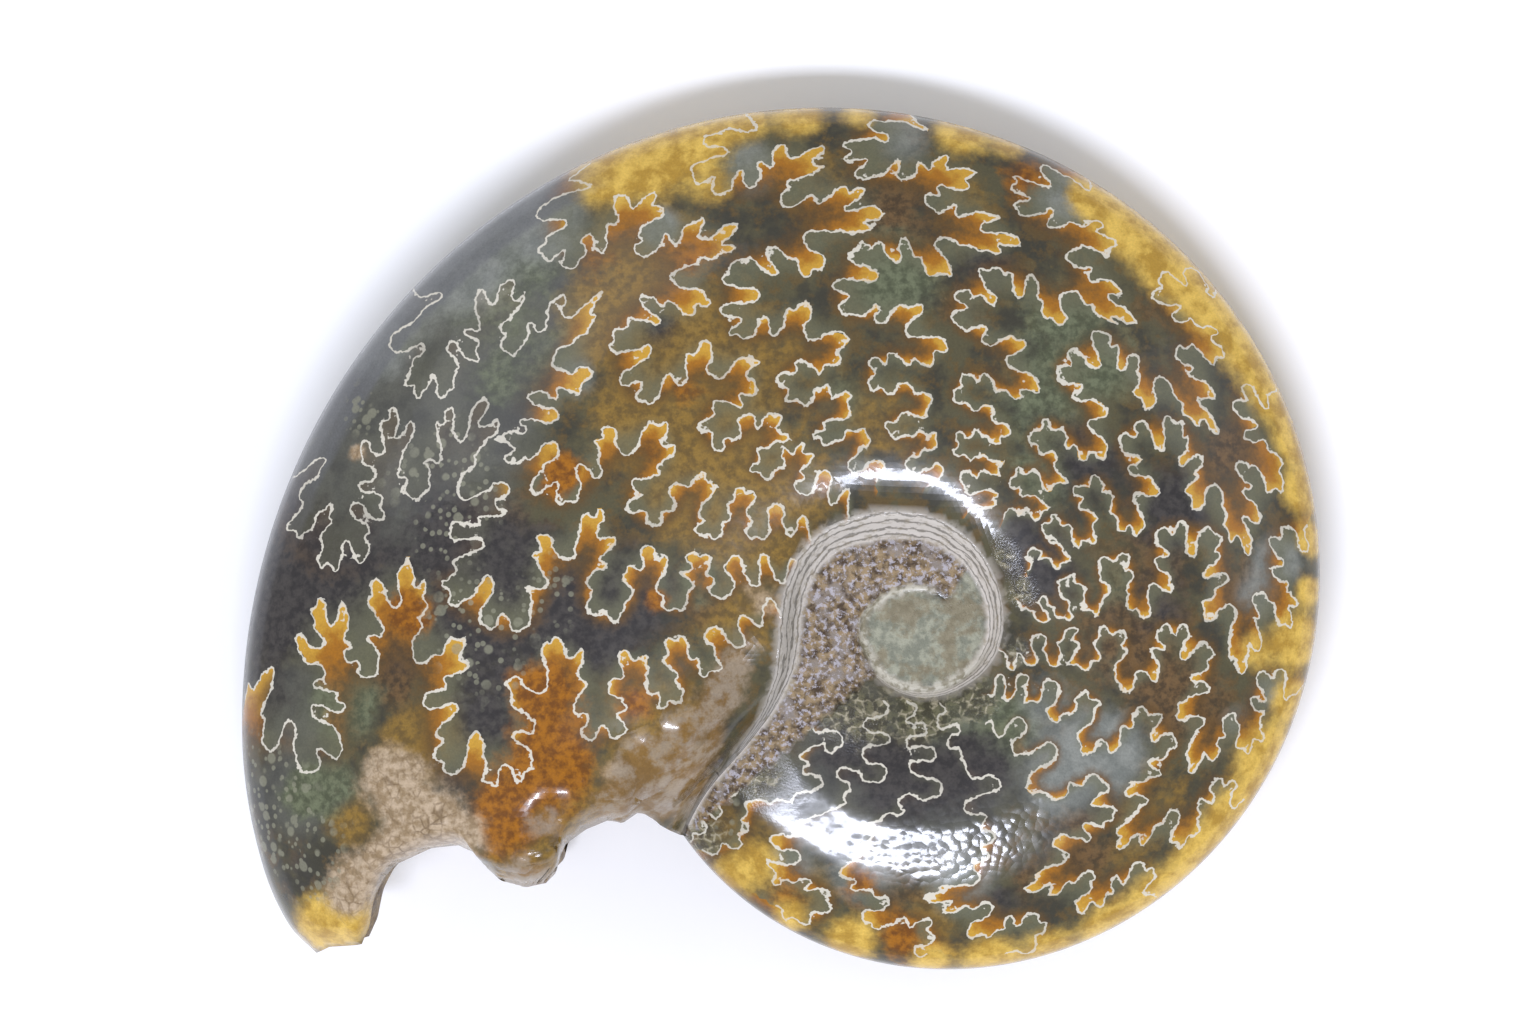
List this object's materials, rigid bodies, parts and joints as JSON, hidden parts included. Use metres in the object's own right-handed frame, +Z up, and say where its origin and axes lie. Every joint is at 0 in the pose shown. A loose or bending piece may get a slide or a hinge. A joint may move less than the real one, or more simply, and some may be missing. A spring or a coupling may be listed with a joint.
{
  "type": "polished ammonite fossil",
  "caption": "Polished ammonite fossil lying on its side: a flat coiled shell with a small sunken centre, broken off at the mouth, with leaf-like suture lines.",
  "frame": {"origin": "middle of the bounding box in plan, on the surface that the fossil lies on", "axes": "+X along the longest extent, from the broken end's side to the other side; +Y across it, away from the broken end; +Z up, out of the flank that shows"},
  "size_m": [0.086, 0.069, 0.0255],
  "materials": {
    "polished_stone": "polished calcite and stone, amber to slate green"
  },
  "bodies": {
    "root": {"ammonite": "polished_stone"}
  },
  "joints": []
}
